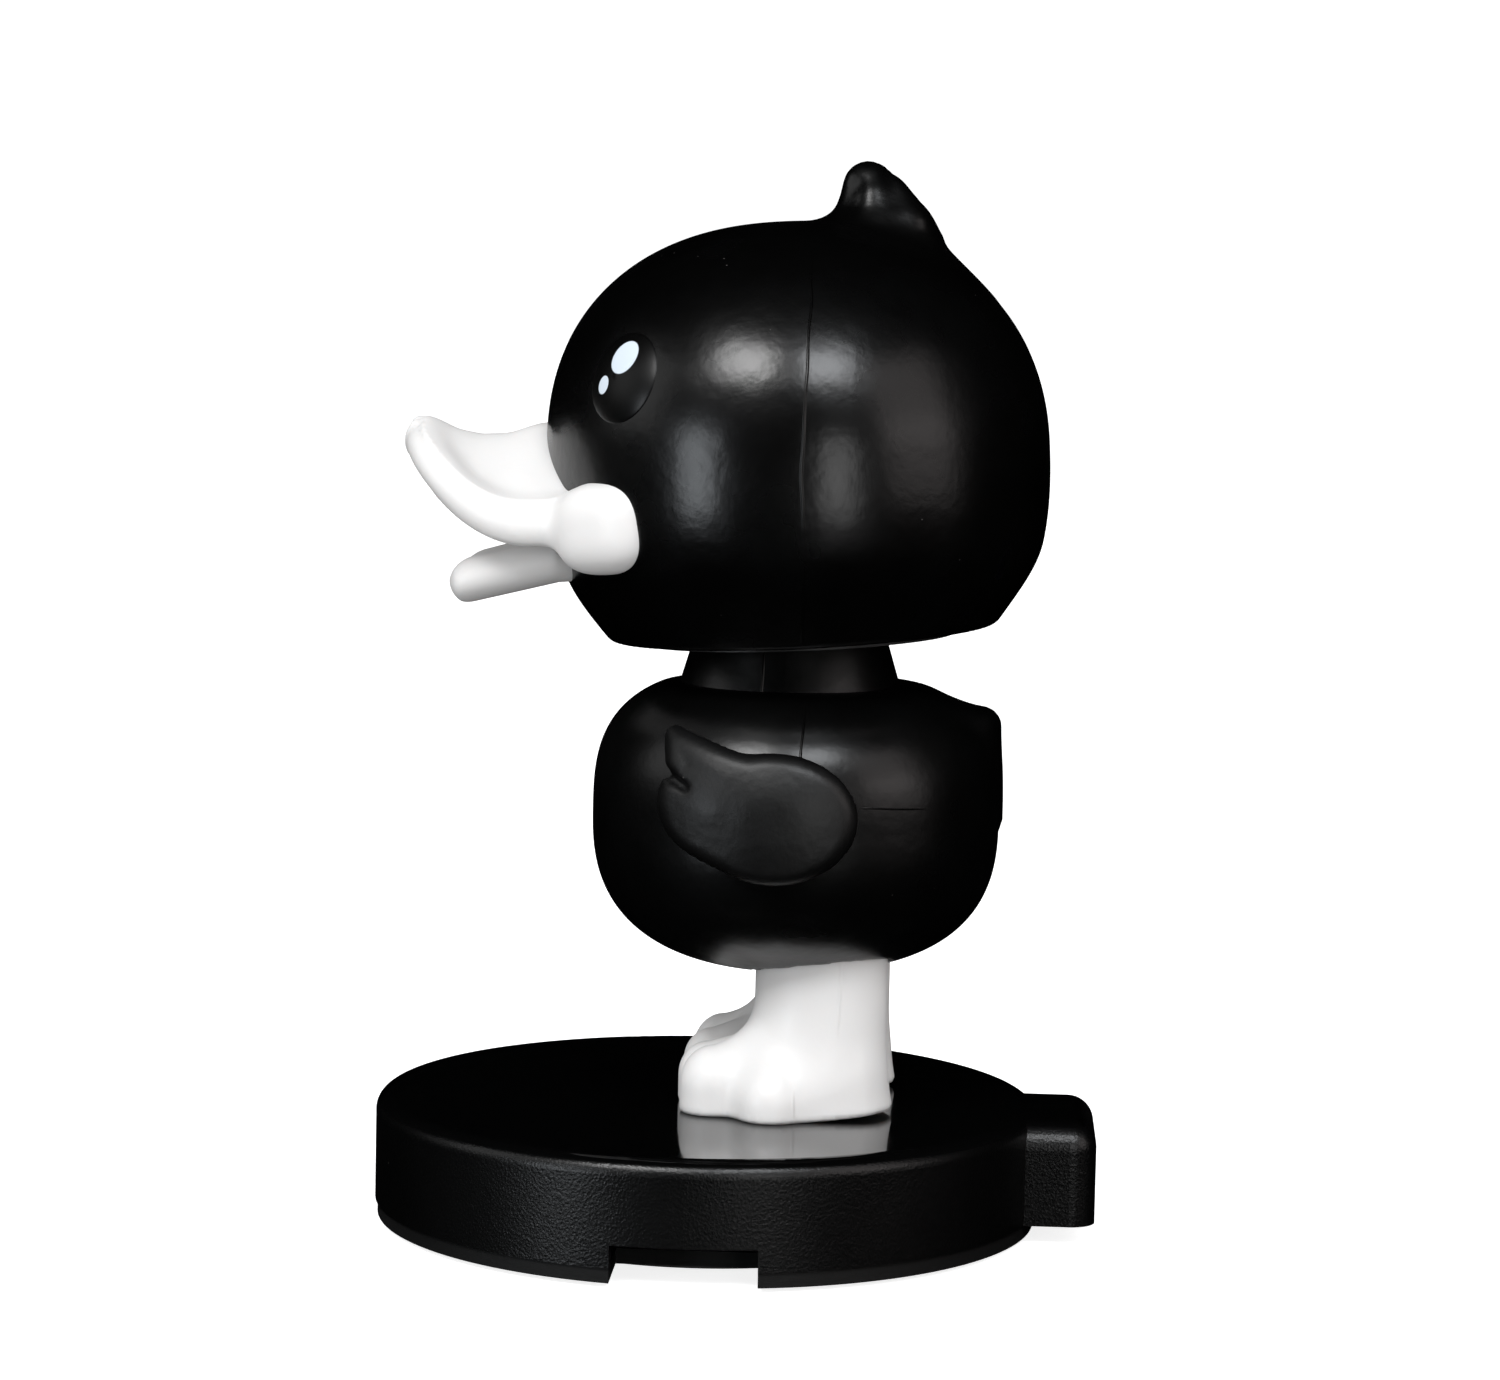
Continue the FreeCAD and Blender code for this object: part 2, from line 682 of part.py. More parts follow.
def head_shell():
    outer = head_egg().fuse(tuft())
    inner = head_egg(-head_wall)
    shell = outer.cut(inner)
    shell = shell.cut(cylinder(insert_r + fit_gap, 12, neck_axis(head_under_z - 6)))
    pocket = eye_pocket()
    shell = shell.cut(pocket).cut(mirrored(pocket))
    shell = shell.cut(bill_plug(bill_plug_half_w, bill_plug_half_h, bill_plug_z, fit_gap))
    shell = shell.cut(bill_plug(lower_plug_half_w, lower_plug_half_h, lower_plug_z, fit_gap))
    return max(shell.Solids, key=lambda solid: solid.Volume)


# ---------------------------------------------------------------- write the parts
def main():
    os.makedirs("parts", exist_ok=True)
    save("base_cover", base_cover())
    save("base_plate", base_plate())
    save("grip_pad", cylinder(pad_r, pad_top_z, V(0, 0, 0)))
    save("ballast_disc", cylinder(ballast_r, ballast_t, V(0, 0, plate_top_z)))
    save("base_screws", base_screws())
    save("leg_screws", leg_screws())
    leg = left_leg()
    save("left_leg", leg)
    save("right_leg", mirrored(leg))
    save("body_shell", body_shell())
    wing = left_wing()
    save("left_wing", wing)
    save("right_wing", mirrored(wing))
    save("neck_collar", neck_collar())
    save("spring_seat", spring_seat())
    save("neck_spring", neck_spring())
    save("spring_cap", leaned(spring_cap()))
    save("cap_screw", leaned(cap_screw()))
    save("head_insert", leaned(head_insert()))
    save("head_shell", leaned(head_shell()))
    eye = left_eye()
    save("left_eye", leaned(eye))
    save("right_eye", leaned(mirrored(eye)))
    save("upper_bill", leaned(upper_bill()))
    save("lower_bill", leaned(lower_bill()))


main()
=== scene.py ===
import json
import math

import bpy
import numpy as np
from mathutils import Matrix, Vector


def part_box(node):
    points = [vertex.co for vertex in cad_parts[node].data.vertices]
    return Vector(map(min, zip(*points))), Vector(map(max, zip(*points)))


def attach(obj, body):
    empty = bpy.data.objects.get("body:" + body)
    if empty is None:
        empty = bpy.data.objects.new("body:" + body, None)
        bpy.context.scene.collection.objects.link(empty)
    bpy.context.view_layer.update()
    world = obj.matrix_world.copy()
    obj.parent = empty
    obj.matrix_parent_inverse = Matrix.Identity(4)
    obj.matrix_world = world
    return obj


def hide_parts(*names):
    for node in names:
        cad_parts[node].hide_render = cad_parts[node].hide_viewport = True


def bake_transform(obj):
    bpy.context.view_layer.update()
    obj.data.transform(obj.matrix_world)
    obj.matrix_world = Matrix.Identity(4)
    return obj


# A black duck figurine with a nodding head on a round base.
# Lengths in this file are millimetres and become metres when a mesh is made.
# +Z is up, the duck faces -Y and its left side is on +X, as in the CAD frame.

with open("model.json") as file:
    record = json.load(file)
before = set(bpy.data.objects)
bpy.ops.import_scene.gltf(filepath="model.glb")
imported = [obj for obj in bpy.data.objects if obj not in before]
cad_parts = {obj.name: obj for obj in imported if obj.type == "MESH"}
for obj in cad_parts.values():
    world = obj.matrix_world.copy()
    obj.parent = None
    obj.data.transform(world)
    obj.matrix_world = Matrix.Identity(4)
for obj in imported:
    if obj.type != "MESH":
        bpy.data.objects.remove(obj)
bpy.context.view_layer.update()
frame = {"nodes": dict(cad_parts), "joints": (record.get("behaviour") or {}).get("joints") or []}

MM = 0.001
JOINTS = {joint["name"]: joint for joint in frame["joints"]}
NOD_PIVOT = [v / MM for v in JOINTS["head_nod"]["pos_m"]]


def node_box(node):
    low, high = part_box(node)
    return np.array(low) / MM, np.array(high) / MM


# ---------------------------------------------------------------- driving sizes
HEAD_LEAN = 3.4
HEAD_Y = 9.8
HEAD_MID_Z = 93.5
HEAD_TOP_Z = 121.5
HEAD_HALF_D = 30.25
HEAD_HALF_W = 31.2
HEAD_LOWER_D = 31.6
HEAD_UNDER_Z = 71.85
HEAD_UNDER_R = 23.1
HEAD_CHAMFER = 0.77        # radius gained per height along the chamfer
HEAD_WALL = 2.6
# Centre line of the tuft, from the crown to its end: y, z and radius.
TUFT = [(20.9, 111.6, 11.2), (21.0, 118.0, 7.0), (20.4, 122.2, 4.7), (19.4, 125.4, 2.85)]
TUFT_SLIM = 0.84           # the tuft's width as a share of its depth

BODY_Y = 9.0
BODY_MID_Z = 50.0
BODY_BOTTOM_Z = 31.4
BODY_TOP_Z = 67.6
NECK_FLAT_Z = 66.0
BODY_FRONT = 23.6
BODY_BACK = 25.7
BODY_HALF_W = 25.0
BODY_WALL = 2.6
NECK_HOLE_R = 11.1
WING_RISE = 1.9
TAIL_END_Y = 34.75
TAIL_TOP_Z = 63.5

LEG_X = 8.5
LEG_Y = 13.9
LEG_HALF_W = 6.5
LEG_HALF_D = 7.7
SOLE_Z = node_box("base_cover")[1][2]
LEG_TOP_Z = BODY_BOTTOM_Z + 3.4
HEEL_RISE = 0.6

EYE_Y = -9.3
EYE_Z = 104.1
EYE_R = 5.5
EYE_RISE = 0.9

COIL_WIRE_R = 0.65
COIL_TURNS = 6

NET_STEP = 0.7
FINE_NET = 0.75            # small pieces take a finer net, as a share of NET_STEP
WING_NET = 0.7


# ---------------------------------------------------------------- distance fields
def smooth_max(a, b, k):
    return -smooth_min(-a, -b, k)


def smooth_min(a, b, k):
    h = np.clip(0.5 + 0.5 * (b - a) / k, 0, 1)
    return b + (a - b) * h - k * h * (1 - h)


def round_max(a, b, radius):
    """Intersection whose edge is rounded by a true radius."""
    u = np.maximum(a + radius, 0)
    v = np.maximum(b + radius, 0)
    return np.minimum(-radius, np.maximum(a, b)) + np.hypot(u, v)


def tapered(p, a, b, radius_a, radius_b):
    """Distance to a capsule whose radius changes from one end to the other."""
    a = np.asarray(a, float)
    along = np.asarray(b, float) - a
    h = np.clip((p - a) @ along / (along @ along), 0, 1)
    gap = np.linalg.norm(p - a - h[:, None] * along, axis=1)
    return gap - (radius_a + (radius_b - radius_a) * h)


def soft_step(value):
    """0 to 1 with flat ends, for a value that is already between 0 and 1."""
    return value * value * (3 - 2 * value)


def ellipsoid(p, centre, half, power=2.0):
    q = np.abs(p - np.asarray(centre, float)) / np.asarray(half, float)
    g = (q ** power).sum(axis=1) ** (1 / power)
    return (g - 1) * min(half)


def steep(field, p, reach=0.05):
    """The gradient of a field by central differences."""
    out = np.empty_like(p)
    for axis in range(3):
        shift = np.zeros(3)
        shift[axis] = reach
        out[:, axis] = (field(p + shift) - field(p - shift)) / (2 * reach)
    return out


def true_distance(field, p):
    return field(p) / np.maximum(np.linalg.norm(steep(field, p), axis=1), 0.2)


# ---------------------------------------------------------------- mesher
def settle(points, field, rounds, reach):
    """Moves points onto the surface where the field is zero, by at most reach in each round."""
    for _ in range(rounds):
        value = field(points)
        slope = steep(field, points)
        size = np.maximum((slope ** 2).sum(axis=1), 0.05)
        move = (value / size)[:, None] * slope
        far = np.maximum(np.linalg.norm(move, axis=1) / reach, 1)
        points = points - move / far[:, None]
    return points


def surface_net(field, low, high, step):
    """Quad mesh of the surface where a field is zero: one vertex per cell that the surface crosses."""
    reach = 0.4 * step
    low = np.asarray(low, float)
    counts = np.ceil((np.asarray(high, float) - low) / step).astype(int) + 1
    axes = [low[i] + step * np.arange(counts[i]) for i in range(3)]
    inside = np.empty(counts, bool)
    yy, zz = np.meshgrid(axes[1], axes[2], indexing="ij")
    plane = np.stack([np.zeros(yy.size), yy.ravel(), zz.ravel()], axis=1)
    for i, x in enumerate(axes[0]):
        plane[:, 0] = x
        inside[i] = (field(plane) < 0).reshape(yy.shape)
    total = np.zeros(counts - 1, int)
    for dx in (0, 1):
        for dy in (0, 1):
            for dz in (0, 1):
                total += inside[dx:counts[0] - 1 + dx,
                                dy:counts[1] - 1 + dy,
                                dz:counts[2] - 1 + dz]
    mixed = (total > 0) & (total < 8)
    index = np.full(mixed.shape, -1)
    index[mixed] = np.arange(mixed.sum())
    points = low + (np.argwhere(mixed) + 0.5) * step
    quads = []
    for axis in range(3):
        before = np.take(inside, np.arange(counts[axis] - 1), axis=axis)
        after = np.take(inside, np.arange(1, counts[axis]), axis=axis)
        place = np.argwhere(before != after)
        u = np.eye(3, dtype=int)[(axis + 1) % 3]
        v = np.eye(3, dtype=int)[(axis + 2) % 3]
        ring = [tuple(c.T) for c in (place, place - u, place - u - v, place - v)]
        quad = np.stack([index[c] for c in ring], axis=1)
        outward = before[tuple(place.T)]
        quads.append(np.where(outward[:, None], quad, quad[:, ::-1]))
    quads = np.concatenate(quads)
    points = settle(points, field, 6, reach)
    return relaxed(points, quads, field, reach), quads


def relaxed(points, quads, field, reach):
    """Evens out the quads: each point moves toward its neighbours' mean and back to the surface."""
    ends = np.concatenate([quads[:, [i, (i + 1) % 4]] for i in range(4)])
    a, b = ends.T
    count = len(points)
    number = np.bincount(a, minlength=count) + np.bincount(b, minlength=count)
    for _ in range(3):
        mean = np.empty_like(points)
        for axis in range(3):
            mean[:, axis] = (np.bincount(a, points[b, axis], count)
                             + np.bincount(b, points[a, axis], count)) / number
        points = settle(points + 0.6 * (mean - points), field, 2, reach)
    return points


def make_mesh(name, points, faces):
    mesh = bpy.data.meshes.new(name)
    rows = faces.tolist() if isinstance(faces, np.ndarray) else faces
    mesh.from_pydata((points * MM).tolist(), [], rows)
    mesh.validate()
    mesh.shade_smooth()
    mesh.update()
    piece = bpy.data.objects.new(name, mesh)
    bpy.context.scene.collection.objects.link(piece)
    return piece


def leaned(points):
    """Turns points of the head nose down about the nod joint's pivot."""
    lean = Matrix.Rotation(math.radians(HEAD_LEAN), 3, "X")
    pivot = np.array(NOD_PIVOT)
    return (points - pivot) @ np.array(lean).T + pivot


def mirrored(points, faces):
    return points * np.array([-1, 1, 1]), faces[:, ::-1]


def add_piece(piece, body, nodes, material):
    piece.data.materials.append(material)
    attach(piece, body)
    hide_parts(*nodes)
    return piece


# ---------------------------------------------------------------- head
def head_egg(p):
    x, y, z = p.T
    dy = (y - HEAD_Y) / HEAD_HALF_D
    radial = np.hypot(x / HEAD_HALF_W, dy)
    upper = z >= HEAD_MID_Z
    above = (z - HEAD_MID_Z) / (HEAD_TOP_Z - HEAD_MID_Z)
    t = np.where(upper, above, (HEAD_MID_Z - z) / HEAD_LOWER_D)
    power = np.where(upper, 2.23 - 0.08 * dy / np.maximum(radial, 0.05), 2.4)
    return ((radial ** power + t ** power) ** (1 / power) - 1) * 28.5


def tuft(p):
    """A short lock of hair at the back of the crown, with soft flutes."""
    q = p.copy()
    q[:, 0] /= TUFT_SLIM
    turn = np.arctan2(q[:, 0], 21.0 - q[:, 1])
    height = p[:, 2]
    flute = 0.2 * np.cos(5 * turn) * np.clip((height - 117) / 4, 0, 1) * np.clip((128.5 - height) / 3, 0, 1)
    parts = [tapered(q, (0, y0, z0), (0, y1, z1), r0, r1)
             for (y0, z0, r0), (y1, z1, r1) in zip(TUFT, TUFT[1:])]
    shape = parts[0]
    for part in parts[1:]:
        shape = smooth_min(shape, part, 0.8)
    return shape * 0.9 - flute


def head_outside(p):
    x, y, z = p.T
    shape = smooth_min(head_egg(p), tuft(p), 2.6)
    radius = np.hypot(x, y - HEAD_Y + 0.4)
    chamfer = radius - HEAD_UNDER_R - HEAD_CHAMFER * (z - HEAD_UNDER_Z)
    chamfer = chamfer / math.hypot(1, HEAD_CHAMFER)
    shape = smooth_max(shape, chamfer, 1.2)
    under = HEAD_UNDER_Z + 0.02 * np.maximum(y - HEAD_Y, 0)
    return smooth_max(shape, under - z, 0.7)


def head_field(p):
    """The head's shell, open under the neck so that its insert shows."""
    x, y, z = p.T
    outer = head_outside(p)
    insert_low, insert_high = node_box("head_insert")
    neck = np.hypot(x, y - BODY_Y)
    hole_r = (insert_high[0] - insert_low[0]) / 2 - 1.7
    hollow = smooth_max(head_egg(p) + HEAD_WALL, HEAD_UNDER_Z + HEAD_WALL - z, 0.6)
    hole = np.maximum(neck - hole_r, z - HEAD_UNDER_Z - 4)
    return np.maximum(outer, -np.minimum(hollow, hole))


# ---------------------------------------------------------------- bill
BILL_SINK = 1.2            # how far the bill goes in under the head's skin
LIP_BACK_Y = -21.0
LIP_REACH = 14.4
LIP_R = 2.0
LIP_BACK_Z = 86.7
LIP_RISE = 10.3
LOWER_BILL_R = 3.1


def lip_at(t):
    """Left half of the upper bill's lip: (x, y, z) for t from the cheek (0) to the tip (1)."""
    x = 16.2 * np.sqrt(np.maximum(1 - t ** 2.4, 0))
    return x, LIP_BACK_Y - LIP_REACH * t, LIP_BACK_Z + LIP_RISE * t ** 1.87


def upper_bill_field(p):
    """A curved sheet, a roof at its root and a scoop at its end, with a round lip along its edge."""
    x, y, z = p.T
    side = np.abs(x)
    q = np.stack([side, y, z], axis=1)
    steps = 1 - (1 - np.linspace(0, 1, 26)) ** 1.7
    lip = np.stack(lip_at(steps), axis=1)
    tube = tapered(q, (16.0, -13.0, LIP_BACK_Z), lip[0], LIP_R, LIP_R)
    for a, b in zip(lip, lip[1:]):
        tube = np.minimum(tube, tapered(q, a, b, LIP_R, LIP_R))
    t = np.clip((LIP_BACK_Y - y) / LIP_REACH, 0, 0.999)
    wide, _, low = lip_at(t)
    saddle = soft_step(np.clip((-20.4 - y) / 5.5, 0, 1))
    upturn = np.clip((-28.2 - y) / 4.5, 0, 1.45) ** 1.2
    ridge = 97.1 - 1.1 * saddle + 1.15 * upturn
    share = np.clip(side / np.maximum(wide, 0.5), 0, 1)
    rounded = np.sqrt(share ** 2 + 0.02) - 0.14
    roof_slope = share / np.sqrt(share ** 2 + 0.02)
    scoop = 0.5 * rounded + 0.5 * np.sin(share * math.pi / 2) ** 2.2
    scoop_slope = 0.5 + 0.55 * np.sin(share * math.pi)
    opened = soft_step(np.clip((t - 0.05) / 0.5, 0, 1))
    sheet_z = ridge - (ridge - low) * (rounded + (scoop - rounded) * opened)
    slope = roof_slope + (scoop_slope - roof_slope) * opened
    slope = (ridge - low) / np.maximum(wide, 3) * slope
    sheet = np.abs(z - sheet_z) / np.sqrt(1 + slope ** 2) - 1.4
    sheet = np.maximum(sheet, side - wide)
    sheet = np.maximum(sheet, -35.9 - y)
    return smooth_min(sheet, tube, 3.0)


CHEEK = (18.9, -11.3, 86.6)
CHEEK_HALF = (6.75, 5.3, 5.5)
CHEEK_TURN = 56.6          # the cheek lies along the head's skin, this far round from +X


def cheek_field(p):
    turn = math.radians(CHEEK_TURN)
    x, y = np.abs(p[:, 0]) - CHEEK[0], p[:, 1] - CHEEK[1]
    along = x * math.cos(turn) + y * math.sin(turn)
    out = x * math.sin(turn) - y * math.cos(turn)
    q = np.stack([along, out, p[:, 2] - CHEEK[2] - 0.05 * along], axis=1)
    return ellipsoid(q, (0, 0, 0), CHEEK_HALF, 2.7)


def bill_and_cheeks(p):
    joint = smooth_min(upper_bill_field(p), cheek_field(p), 2.0)
    return np.maximum(joint, p[:, 1] + 6)


def inside_head(p):
    """Positive inside the head, so that the bill stops a little under the head's skin."""
    return -(head_egg(p) + BILL_SINK)


def upper_bill(p):
    return np.maximum(bill_and_cheeks(p), inside_head(p))


def lower_bill(p):
    """A flat tongue with round edges and a shallow groove along its top."""
    x, y, z = p.T
    side = np.abs(x)
    t = np.clip((-19.0 - y) / 12.0, 0, 1)
    reach = 12.6 - 2.4 * t - 0.5 * np.clip(y + 19, 0, 8)
    spine_z = 82.5 - 2.35 * t
    past_edge = np.maximum(side - (reach - 5.2), 0)
    tongue = np.hypot(past_edge * 0.62, z - spine_z) - LOWER_BILL_R
    past_front = np.maximum(-29.5 - y, 0) + np.maximum(side - 3.5, 0) ** 2 * 0.035
    front = np.hypot(past_front, z - spine_z) - LOWER_BILL_R
    groove = np.exp(-(x / 5.5) ** 2) * np.clip((z - spine_z) / 2, 0, 1)
    shape = smooth_max(tongue, front, 0.8) + groove
    return np.maximum(np.maximum(shape, y + 9), inside_head(p))


# ---------------------------------------------------------------- body and wings
def body_egg(p):
    x, y, z = p.T
    upper = z >= BODY_MID_Z
    above = (z - BODY_MID_Z) / (BODY_TOP_Z - BODY_MID_Z)
    t = np.where(upper, above, (BODY_MID_Z - z) / (BODY_MID_Z - BODY_BOTTOM_Z))
    power = np.where(upper, 3.0, 2.6)
    dy = y - BODY_Y - np.where(upper, 0, 0.5 * np.clip(t, 0, 1) ** 2)
    depth = np.where(dy > 0, BODY_BACK, BODY_FRONT)
    radial = np.hypot(x / BODY_HALF_W, dy / depth)
    return ((radial ** power + t ** power) ** (1 / power) - 1) * 18.5


def tail(p):
    """A broad upright corner at the back, flat on top and narrower in plan toward its end."""
    x, y, z = p.T
    across = (np.abs(x) - 2.6 - 0.8 * (TAIL_END_Y - y)) / math.hypot(1, 0.8)
    profile = round_max(z - TAIL_TOP_Z, y - TAIL_END_Y, 2.3)
    return np.maximum(round_max(profile, across, 2.2), np.maximum(50 - z, 22 - y))


def body_outside(p):
    return smooth_min(body_egg(p), tail(p), 1.6)


def leg_oval(x, y):
    """Distance to the left leg's oval in plan."""
    return (np.hypot((x - LEG_X) / LEG_HALF_W, (y - LEG_Y) / LEG_HALF_D) - 1) * 7.0


def body_field(p):
    """The body's shell, with a neck hole and with sockets that the legs go up into."""
    x, y, z = p.T
    neck = np.hypot(x, y - BODY_Y)
    outer = smooth_max(body_outside(p), z - NECK_FLAT_Z, 0.5)
    hem = 0.35 + 0.14 * np.sin(y * 1.1) * np.sin(x * 0.9 + 1)
    outer = smooth_max(outer, hem - leg_oval(np.abs(x), y) - np.clip(z - 38, 0, 9), 0.5)
    inner = np.maximum(body_egg(p) + BODY_WALL, z - NECK_FLAT_Z + BODY_WALL)
    hole = np.maximum(neck - NECK_HOLE_R, NECK_FLAT_Z - 4 - z)
    return np.maximum(outer, -np.minimum(inner, hole))


def side_view(y, z):
    return np.stack([y, z, np.zeros_like(y)], axis=1)


def wing_outline(y, z):
    """Distance to the wing's outline in side view, negative inside."""
    def oval(cy, cz, ry, rz):
        return (np.hypot((y - cy) / ry, (z - cz) / rz) - 1) * min(ry, rz)

    flat = side_view(y, z)
    main = oval(8.4, 52.4, 10.0, 7.75)
    front = oval(0.9, 53.7, 6.35, 6.0)
    tip = tapered(flat, (3.0, 57.0, 0), (-3.3, 61.0, 0), 3.4, 1.5)
    tip = np.minimum(tip, tapered(flat, (-3.3, 60.9, 0), (-2.8, 58.4, 0), 1.5, 1.8))
    shape = smooth_min(main, front, 2.5)
    return smooth_min(shape, tip, 0.6)


def wing_field(p):
    """The left wing: a pillow on the body's skin with a rounded edge, undercut where it meets the body."""
    x, y, z = p.T
    outline = wing_outline(y, z)
    skin = true_distance(body_outside, p)
    pillow = 0.35 * np.clip(-outline / 5, 0, 1)
    notch = tapered(side_view(y, z), (-5.2, 57.5, 0), (-1.9, 55.7, 0), 0.35, 0.05)
    dent = 1.1 * np.exp(-np.maximum(notch, 0) ** 2 / 0.16)
    top = skin - WING_RISE - pillow + dent
    undercut = 0.55 * np.clip((0.8 - skin) / 0.8, 0, 1)
    solid = round_max(top, outline + undercut, 1.5)
    return np.maximum(np.maximum(solid, -(skin + 0.5)), 12 - x)


# ---------------------------------------------------------------- feet
def plan_toe(p, start, end, radius_a, radius_b, top_a, top_b, cap):
    """A toe with upright walls and a domed top, between two points in plan."""
    a = np.array(start, float)
    along = np.array(end, float) - a
    q = p[:, :2] - a
    h = np.clip(q @ along / (along @ along), 0, 1)
    flat = np.linalg.norm(q - h[:, None] * along, axis=1)
    radius = radius_a + (radius_b - radius_a) * h
    top = top_a + (top_b - top_a) * h
    up = np.maximum(p[:, 2] - top + cap, 0) * radius / cap
    return np.hypot(flat, up) - radius


def foot_field(p):
    """The left foot: an oval leg that spreads into three toes."""
    x, y, z = p.T
    z0 = SOLE_Z
    flare = 0.9 * np.clip((z0 + 7 - z) / 7, 0, 1) ** 2 * np.clip((y - 12) / 8, 0, 1)
    column = leg_oval(x, y) - flare
    column = np.maximum(column, z - LEG_TOP_Z)
    inner = plan_toe(p, (7.0, 10.5), (4.6, 0.3), 4.4, 3.6, z0 + 10.8, z0 + 7.3, 4.0)
    middle = plan_toe(p, (8.4, 11), (11.0, 1.3), 4.6, 4.0, z0 + 11.4, z0 + 8.0, 4.8)
    outer = plan_toe(p, (8.8, 14.0), (14.6, 8.4), 6.2, 4.1, z0 + 9.4, z0 + 6.6, 5.0)
    toes = smooth_min(middle, outer, 3.0)
    foot = smooth_min(toes, column, 4.2)
    foot = smooth_min(foot, smooth_min(inner, column, 3.4), 0.75)
    foot = np.maximum(foot, z - LEG_TOP_Z)
    heel = HEEL_RISE * np.clip((y - 11) / 10, 0, 1) ** 1.4
    return smooth_max(foot, z0 + heel - z, 0.5)


# ---------------------------------------------------------------- materials
def new_material(name):
    material = bpy.data.materials.new(name)
    material.use_nodes = True
    tree = material.node_tree
    shader = tree.nodes["Principled BSDF"]
    return material, tree, shader


class Nodes:
    """Short names for the nodes that the materials use."""

    def __init__(self, tree):
        self.tree = tree
        self.place = tree.nodes.new("ShaderNodeTexCoord").outputs["Object"]

    def link(self, value, socket):
        if isinstance(value, (int, float, tuple)):
            socket.default_value = value
        else:
            self.tree.links.new(value, socket)

    def noise(self, scale, detail=2.0, rough=0.5, place=None):
        node = self.tree.nodes.new("ShaderNodeTexNoise")
        node.inputs["Scale"].default_value = scale
        node.inputs["Detail"].default_value = detail
        node.inputs["Roughness"].default_value = rough
        self.link(place or self.place, node.inputs["Vector"])
        return node.outputs["Fac"]

    def cells(self, scale):
        node = self.tree.nodes.new("ShaderNodeTexVoronoi")
        node.inputs["Scale"].default_value = scale
        self.link(self.place, node.inputs["Vector"])
        return node.outputs["Distance"]

    def stretch(self, scale):
        node = self.tree.nodes.new("ShaderNodeMapping")
        node.inputs["Scale"].default_value = scale
        self.link(self.place, node.inputs["Vector"])
        return node.outputs["Vector"]

    def range(self, value, low, high, to_low, to_high, smooth=False):
        node = self.tree.nodes.new("ShaderNodeMapRange")
        if smooth:
            node.interpolation_type = "SMOOTHSTEP"
        ends = {"From Min": low, "From Max": high, "To Min": to_low, "To Max": to_high}
        for key, number in ends.items():
            node.inputs[key].default_value = number
        self.link(value, node.inputs["Value"])
        return node.outputs["Result"]

    def math(self, kind, a, b=0.0, c=None):
        node = self.tree.nodes.new("ShaderNodeMath")
        node.operation = kind
        self.link(a, node.inputs[0])
        self.link(b, node.inputs[1])
        if c is not None:
            self.link(c, node.inputs[2])
        return node.outputs[0]

    def axis(self, name):
        node = self.tree.nodes.new("ShaderNodeSeparateXYZ")
        self.link(self.place, node.inputs[0])
        return node.outputs[name]

    def mix(self, share, a, b):
        node = self.tree.nodes.new("ShaderNodeMix")
        node.data_type = "RGBA"
        self.link(share, node.inputs["Factor"])
        self.link(a, node.inputs["A"])
        self.link(b, node.inputs["B"])
        return node.outputs["Result"]

    def bump(self, height, distance, strength=1.0, under=None):
        node = self.tree.nodes.new("ShaderNodeBump")
        node.inputs["Distance"].default_value = distance
        node.inputs["Strength"].default_value = strength
        self.link(height, node.inputs["Height"])
        if under is not None:
            self.link(under, node.inputs["Normal"])
        return node.outputs["Normal"]

    def line(self, value, centre, half):
        """1 on a line where value is near centre, 0 beyond half."""
        off = self.math("ABSOLUTE", self.math("SUBTRACT", value, centre))
        return self.range(off, 0.0, half, 1.0, 0.0, smooth=True)


def grey(value, warm=0.0):
    return (value * (1 + warm), value, value * (1 - warm), 1.0)


def black_plastic(name, low_rough, high_rough, seams=(), dust=0.5, tint=0.0006,
                  peel=0.00003, peel_scale=700):
    """Black moulded vinyl: fine orange peel, handling haze, dust specks and thin mould lines.

    A seam is (axis, at, start, end, half width): it lies where that axis, Y or Z, equals at,
    and runs from start to end along the other one.
    """
    material, tree, shader = new_material(name)
    n = Nodes(tree)
    haze = n.noise(60, 3, 0.6)
    specks = n.range(n.cells(420), 0.045, 0.02, 0.0, 1.0)
    rare = n.range(n.noise(110, 1), 0.56, 0.62, 0.0, 1.0)
    speck = n.math("MULTIPLY", n.math("MULTIPLY", specks, rare), dust)
    base = n.mix(n.range(haze, 0.35, 0.7, 0.0, 1.0), grey(tint), grey(tint * 1.6, -0.06))
    n.link(n.mix(speck, base, grey(0.16, 0.04)), shader.inputs["Base Color"])
    rough = n.range(haze, 0.3, 0.7, low_rough, high_rough)
    n.link(n.math("MAXIMUM", rough, n.math("MULTIPLY", speck, 0.8)), shader.inputs["Roughness"])
    height = n.math("MULTIPLY_ADD", n.noise(peel_scale, 2, 0.5), 1.0, n.noise(peel_scale * 0.3, 1))
    normal = n.bump(height, peel)
    wander = n.noise(90, 1)
    for axis, at, start, end, half in seams:
        value = n.axis(axis)
        value = n.math("MULTIPLY_ADD", n.math("SUBTRACT", wander, 0.5), 0.0012, value)
        other = n.axis("Z" if axis == "Y" else "Y")
        span = n.math("MULTIPLY", n.range(other, start * MM, (start + 2) * MM, 0.0, 1.0),
                      n.range(other, (end - 2) * MM, end * MM, 1.0, 0.0))
        ridge = n.math("MULTIPLY", n.line(value, at * MM, half * MM), span)
        normal = n.bump(ridge, 0.00012, 1.0, normal)
    n.link(normal, shader.inputs["Normal"])
    shader.inputs["Specular IOR Level"].default_value = 0.5
    return material


